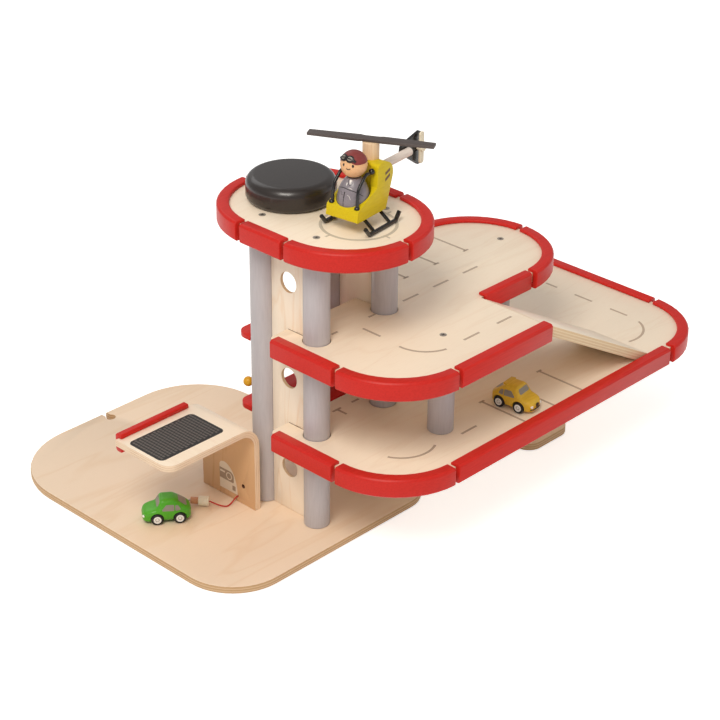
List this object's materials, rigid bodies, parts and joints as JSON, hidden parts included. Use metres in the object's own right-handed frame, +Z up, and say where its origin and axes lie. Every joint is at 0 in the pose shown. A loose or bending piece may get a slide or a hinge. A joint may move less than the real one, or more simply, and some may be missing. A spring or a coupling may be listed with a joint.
{
  "type": "wooden toy garage",
  "caption": "Wooden toy garage with decks on dowel columns, red edge rails, a ramp, a lift wound by a wheel, a charging canopy, toy cars and a helicopter.",
  "frame": {"origin": "centre of the base plate's underside", "axes": "+X to the right along the decks, +Y to the back, +Z up"},
  "size_m": [0.6714, 0.4975, 0.4321],
  "materials": {
    "birch_plywood": "clear water-based lacquer, satin",
    "red_painted_wood": "opaque paint, satin",
    "grey_stained_wood": "grey stain, satin",
    "black_painted_wood": "opaque paint, satin",
    "red_cord": "twisted cotton cord",
    "cream_wood": "turned maple, clear lacquer",
    "white_string": "braided string",
    "zinc_steel": "zinc plated",
    "green_painted_wood": "gloss paint",
    "yellow_painted_wood": "gloss paint",
    "heli_yellow": "opaque paint, satin",
    "black_tyre": "rubber tyre on a white hub",
    "black_plastic": "moulded, satin",
    "natural_wood": "clear lacquer",
    "grey_painted_wood": "opaque paint, satin",
    "skin_painted_wood": "opaque paint, satin"
  },
  "bodies": {
    "garage": {"base_plate": "birch_plywood", "canopy_rail": "red_painted_wood", "canopy_shell": "birch_plywood", "charge_cord": "red_cord", "charge_plug": "cream_wood", "cord_guide": "zinc_steel", "cord_lead": "white_string", "foot": "birch_plywood", "front_post": "grey_stained_wood", "lift_cord": "white_string", "lower_deck": "birch_plywood", "lower_rail_back": "red_painted_wood", "lower_rail_back_right": "red_painted_wood", "lower_rail_front": "red_painted_wood", "lower_rail_front_left": "red_painted_wood", "lower_rail_front_right": "red_painted_wood", "lower_rail_left": "red_painted_wood", "lower_rail_right": "red_painted_wood", "middle_deck": "birch_plywood", "middle_rail_back": "red_painted_wood", "middle_rail_back_right": "red_painted_wood", "middle_rail_front": "red_painted_wood", "middle_rail_front_left": "red_painted_wood", "middle_rail_front_right": "red_painted_wood", "middle_rail_inner": "red_painted_wood", "middle_rail_left": "red_painted_wood", "ramp": "birch_plywood", "rear_post": "grey_stained_wood", "top_deck": "birch_plywood", "top_rail_back_left": "red_painted_wood", "top_rail_back_right": "red_painted_wood", "top_rail_front_left": "red_painted_wood", "top_rail_front_right": "red_painted_wood", "top_rail_left": "red_painted_wood", "top_rail_right": "red_painted_wood", "tower_column_front_left": "grey_stained_wood", "tower_column_front_right": "grey_stained_wood", "tower_column_rear_left": "grey_stained_wood", "tower_column_rear_right": "grey_stained_wood", "tower_panel_left": "birch_plywood", "tower_panel_right": "birch_plywood"},
    "lift": {"lift_floor": "red_painted_wood", "lift_roof": "red_painted_wood", "lift_knob": "yellow_painted_wood"},
    "winding_wheel": {"winding_wheel": "black_painted_wood", "wheel_spindle": "natural_wood"},
    "green_car": {"green_car_body": "green_painted_wood"},
    "green_front_axle": {"green_car_front_wheels": "black_tyre"},
    "green_rear_axle": {"green_car_rear_wheels": "black_tyre"},
    "yellow_car": {"yellow_car_body": "yellow_painted_wood"},
    "yellow_front_axle": {"yellow_car_front_wheels": "black_tyre"},
    "yellow_rear_axle": {"yellow_car_rear_wheels": "black_tyre"},
    "helicopter": {"helicopter_body": "heli_yellow", "rotor_mast": "natural_wood", "skids": "black_plastic", "tail_boom": "natural_wood", "pilot_body": "grey_painted_wood", "pilot_head": "skin_painted_wood"},
    "main_rotor": {"main_rotor": "black_plastic"},
    "tail_rotor": {"tail_rotor": "cream_wood"}
  },
  "joints": [
    {"name": "lift_slide", "type": "slide", "parent": "garage", "child": "lift", "axis": [0, 0, 1], "range_m": [-0.1023, 0.1114], "deforming": ["lift_cord"]},
    {"name": "winding_wheel_turn", "type": "hinge", "parent": "garage", "child": "winding_wheel", "pos_m": [0.06325, -0.06125, 0.3448], "axis": [0, 0, 1], "range_deg": [-467, 508]},
    {"name": "green_car_roll", "type": "slide", "parent": "garage", "child": "green_car", "axis": [-0.81, 0.5864, 0], "range_m": [0, 0.03]},
    {"name": "green_front_axle_spin", "type": "hinge", "parent": "green_car", "child": "green_front_axle", "pos_m": [-0.10495, -0.02305, 0.0158], "axis": [-0.5864, -0.81, 0], "continuous": true},
    {"name": "green_rear_axle_spin", "type": "hinge", "parent": "green_car", "child": "green_rear_axle", "pos_m": [-0.08535, -0.03725, 0.0158], "axis": [-0.5864, -0.81, 0], "continuous": true},
    {"name": "yellow_car_roll", "type": "slide", "parent": "garage", "child": "yellow_car", "axis": [0.1392, -0.9903, 0], "range_m": [-0.08, 0.002]},
    {"name": "yellow_front_axle_spin", "type": "hinge", "parent": "yellow_car", "child": "yellow_front_axle", "pos_m": [0.20693, -0.26923, 0.1246], "axis": [0.9903, 0.1392, 0], "continuous": true},
    {"name": "yellow_rear_axle_spin", "type": "hinge", "parent": "yellow_car", "child": "yellow_rear_axle", "pos_m": [0.20357, -0.24527, 0.1246], "axis": [0.9903, 0.1392, 0], "continuous": true},
    {"name": "helicopter_lift_off", "type": "slide", "parent": "garage", "child": "helicopter", "axis": [0, 0, 1], "range_m": [0, 0.1]},
    {"name": "main_rotor_spin", "type": "hinge", "parent": "helicopter", "child": "main_rotor", "pos_m": [0.08365, -0.15495, 0.4288], "axis": [0, 0, 1], "continuous": true},
    {"name": "tail_rotor_spin", "type": "hinge", "parent": "helicopter", "child": "tail_rotor", "pos_m": [0.1709, -0.14346, 0.3933], "axis": [0.1305, -0.9914, 0], "continuous": true}
  ],
  "couplings": [
    {"joint": "winding_wheel_turn", "follows": "lift_slide", "rad_per_m": 79.365}
  ]
}
